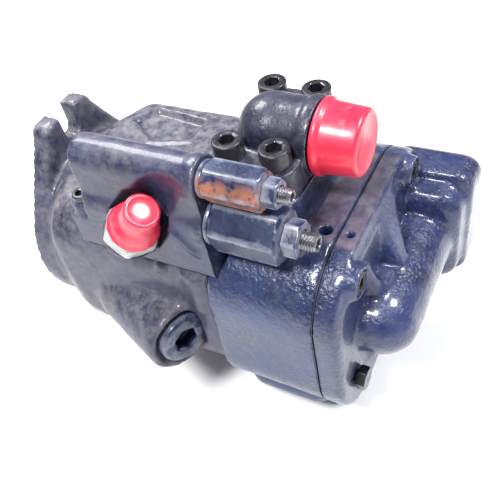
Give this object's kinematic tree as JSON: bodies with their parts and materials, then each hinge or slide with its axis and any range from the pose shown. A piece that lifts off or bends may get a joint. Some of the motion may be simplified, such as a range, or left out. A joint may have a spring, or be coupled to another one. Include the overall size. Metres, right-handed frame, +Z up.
{
  "type": "axial piston pump",
  "caption": "Variable-displacement axial piston pump with a two-slot mounting flange, compensator block, capped outlet elbow and side suction port.",
  "frame": {"origin": "centre of the mounting face, on the shaft axis", "axes": "+X along the shaft towards the rear cover, +Z up through the outlet, +Y to the side of the suction port, away from the compensator"},
  "size_m": [0.3031, 0.1703, 0.2066],
  "materials": {
    "casting_paint": "dark slate-blue gloss enamel, worn and oily",
    "painted_steel": "dark slate-blue enamel on turned steel",
    "gasket_black": "thin black gasket sheet",
    "black_screws": "black oxide, oily",
    "bright_steel": "ground and turned steel",
    "spring_steel": "drawn spring wire",
    "black_rubber": "matt rubber",
    "ring_polymer": "split polymer ring",
    "red_plastic": "soft bright red plastic, slightly see-through",
    "zinc_fitting": "dull gray zinc plate",
    "bronze": "machined bronze"
  },
  "bodies": {
    "pump": {"main_housing": "casting_paint", "port_block": "casting_paint", "rear_cover": "casting_paint", "gaskets": "gasket_black", "case_bolts": "black_screws", "compensator_block": "casting_paint", "block_screws": "black_screws", "pressure_cap": "painted_steel", "pressure_locknut": "black_screws", "flow_cap": "painted_steel", "flow_locknut": "black_screws", "outlet_elbow": "casting_paint", "outlet_screws": "black_screws", "outlet_seal": "black_rubber", "signal_fitting": "zinc_fitting", "servo_plug": "painted_steel", "front_bearing_cup": "bright_steel", "rear_bearing": "bright_steel", "shaft_seal": "black_rubber", "seal_ring": "ring_polymer", "valve_plate": "bronze", "cradle_bearings": "bronze", "pressure_spring": "spring_steel", "flow_spring": "spring_steel", "bias_spring": "spring_steel", "swashplate": "bright_steel", "servo_piston": "bright_steel", "bias_piston": "bright_steel"},
    "rotating_group": {"drive_shaft": "bright_steel", "front_bearing_cone": "bright_steel", "cylinder_block": "bright_steel", "block_spring": "spring_steel", "ball_guide": "bright_steel", "retainer_plate": "bronze", "piston_1": "bright_steel", "piston_2": "bright_steel", "piston_3": "bright_steel", "piston_4": "bright_steel", "piston_5": "bright_steel", "piston_6": "bright_steel", "piston_7": "bright_steel", "piston_8": "bright_steel", "piston_9": "bright_steel", "slipper_1": "bronze", "slipper_2": "bronze", "slipper_3": "bronze", "slipper_4": "bronze", "slipper_5": "bronze", "slipper_6": "bronze", "slipper_7": "bronze", "slipper_8": "bronze", "slipper_9": "bronze"},
    "pressure_spool": {"pressure_spool": "bright_steel"},
    "flow_spool": {"flow_spool": "bright_steel"},
    "pressure_seat": {"pressure_seat": "bright_steel"},
    "flow_seat": {"flow_seat": "bright_steel"},
    "pressure_adjuster": {"pressure_adjuster": "bright_steel"},
    "flow_adjuster": {"flow_adjuster": "bright_steel"},
    "outlet_cap": {"outlet_cap": "red_plastic"},
    "signal_cap": {"signal_cap": "red_plastic"}
  },
  "joints": [
    {"name": "shaft_spin", "type": "hinge", "parent": "pump", "child": "rotating_group", "pos_m": [0, 0, 0], "axis": [1, 0, 0], "continuous": true},
    {"name": "pressure_spool_slide", "type": "slide", "parent": "pump", "child": "pressure_spool", "axis": [1, 0, 0], "range_m": [0, 0.003], "stiffness_N_per_m": 9000, "springref_m": -0.002, "deforming": ["pressure_spring"]},
    {"name": "flow_spool_slide", "type": "slide", "parent": "pump", "child": "flow_spool", "axis": [1, 0, 0], "range_m": [0, 0.003], "stiffness_N_per_m": 6000, "springref_m": -0.002, "deforming": ["flow_spring"]},
    {"name": "pressure_seat_slide", "type": "slide", "parent": "pump", "child": "pressure_seat", "axis": [1, 0, 0], "range_m": [-0.0025, 0.0025]},
    {"name": "pressure_adjuster_turn", "type": "hinge", "parent": "pressure_seat", "child": "pressure_adjuster", "pos_m": [0.185, -0.053, 0.107], "axis": [1, 0, 0], "range_deg": [-720, 720]},
    {"name": "flow_seat_slide", "type": "slide", "parent": "pump", "child": "flow_seat", "axis": [1, 0, 0], "range_m": [-0.003, 0.003]},
    {"name": "flow_adjuster_turn", "type": "hinge", "parent": "flow_seat", "child": "flow_adjuster", "pos_m": [0.192, -0.053, 0.08], "axis": [1, 0, 0], "range_deg": [-720, 720]},
    {"name": "outlet_cap_pull", "type": "slide", "parent": "pump", "child": "outlet_cap", "axis": [1, 0, 0], "range_m": [0, 0.03]},
    {"name": "signal_cap_pull", "type": "slide", "parent": "pump", "child": "signal_cap", "axis": [0.6022, -0.128, 0.788], "range_m": [0, 0.012]}
  ],
  "couplings": [
    {"joint": "pressure_adjuster_turn", "follows": "pressure_seat_slide", "rad_per_m": 5026},
    {"joint": "flow_adjuster_turn", "follows": "flow_seat_slide", "rad_per_m": 4188}
  ]
}
